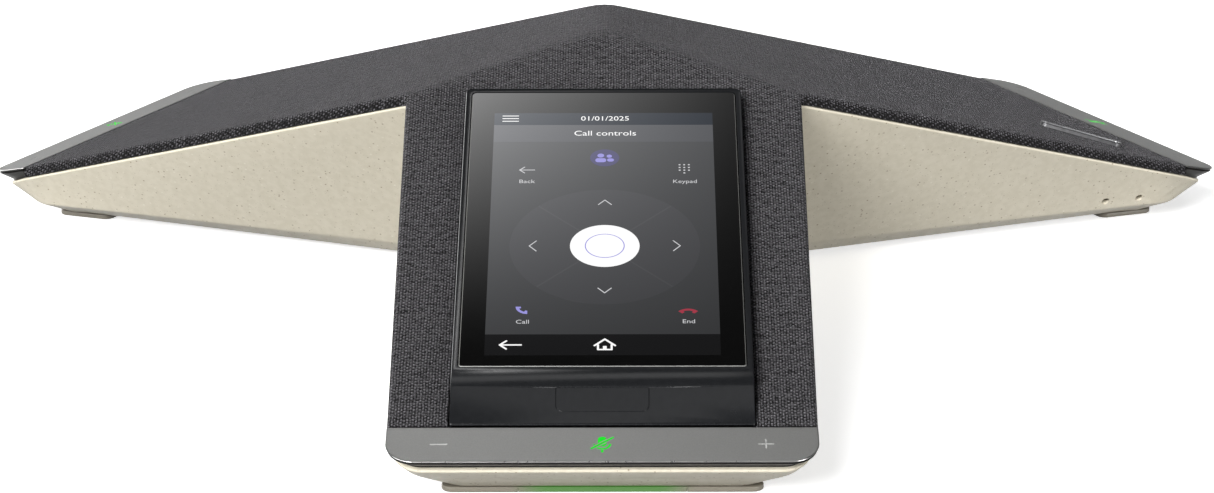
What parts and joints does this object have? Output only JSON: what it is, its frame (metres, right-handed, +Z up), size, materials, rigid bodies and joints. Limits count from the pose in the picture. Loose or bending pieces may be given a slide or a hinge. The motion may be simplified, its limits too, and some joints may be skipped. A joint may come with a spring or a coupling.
{
  "type": "conference desk phone",
  "caption": "Three-arm conference desk phone: sloping fabric top over a centre loudspeaker, tilted touch display on one arm, touch bars at the arm ends.",
  "frame": {"origin": "where the hub's vertical axis meets the plane of the table, 1.8 mm below the middle of the flat underside", "axes": "+Z up; the display arm points along -Y, towards the user; +X to the user's right"},
  "size_m": [0.3814, 0.3324, 0.075],
  "materials": {
    "shell": "fine-grained warm beige plastic with dark specks",
    "foot": "satin translucent beige plastic",
    "black_trim": "satin black plastic",
    "housing": "satin near-black plastic",
    "bar": "satin, with a polished edge",
    "fabric": "black and grey plain-woven acoustic cloth",
    "glass": "polished black cover glass",
    "screen": "lit display panel",
    "lit_green": "green lit light guide",
    "board": "green circuit board",
    "steel": "plain steel",
    "badge": "polished plate",
    "magnet": "black coated ferrite and steel",
    "cone": "coated black paper",
    "rubber": "soft black rubber",
    "copper": "copper wire on a former",
    "film": "amber polyimide film"
  },
  "bodies": {
    "phone": {"base_pan": "shell", "fabric_cover": "fabric", "top_carrier": "black_trim", "display_housing": "housing", "cover_glass": "glass", "lcd_panel": "screen", "display_bracket": "steel", "service_socket": "steel", "main_board": "board", "shield_can": "steel", "lan_jack": "steel", "usb_a_socket": "steel", "usb_c_socket": "steel", "speaker_basket": "steel", "speaker_magnet": "magnet", "speaker_surround": "rubber", "speaker_box": "black_trim", "badge_plate": "badge", "display_ribbon": "film", "foot_pad_front": "foot", "strip_light_front": "lit_green", "end_cap_front": "black_trim", "touch_bar_front": "bar", "mute_light_front": "lit_green", "touch_board_front": "board", "mic_boot_front": "rubber", "microphone_front": "steel", "touch_ribbon_front": "film", "base_screw_front_a": "steel", "base_screw_front_b": "steel", "foot_pad_right": "foot", "strip_light_right": "lit_green", "end_cap_right": "black_trim", "touch_bar_right": "bar", "mute_light_right": "lit_green", "touch_board_right": "board", "mic_boot_right": "rubber", "microphone_right": "steel", "touch_ribbon_right": "film", "base_screw_right_a": "steel", "base_screw_right_b": "steel", "foot_pad_left": "foot", "strip_light_left": "lit_green", "end_cap_left": "black_trim", "touch_bar_left": "bar", "mute_light_left": "lit_green", "touch_board_left": "board", "mic_boot_left": "rubber", "microphone_left": "steel", "touch_ribbon_left": "film", "base_screw_left_a": "steel", "base_screw_left_b": "steel", "antenna_left": "film", "antenna_right": "film"},
    "cone": {"speaker_cone": "cone", "voice_coil": "copper"},
    "flap": {"port_flap": "housing"},
    "reset": {"reset_button": "black_trim"}
  },
  "joints": [
    {"name": "cone_travel", "type": "slide", "parent": "phone", "child": "cone", "axis": [0, 0, 1], "range_m": [-0.002, 0.002], "stiffness_N_per_m": 1200, "deforming": ["speaker_surround"]},
    {"name": "flap_hinge", "type": "hinge", "parent": "phone", "child": "flap", "pos_m": [0, -0.16642, 0.02581], "axis": [-1, 0, 0], "range_deg": [0, 80]},
    {"name": "reset_press", "type": "slide", "parent": "phone", "child": "reset", "axis": [-0.2801, 0.8132, 0.5102], "range_m": [0, 0.0005], "stiffness_N_per_m": 600}
  ]
}
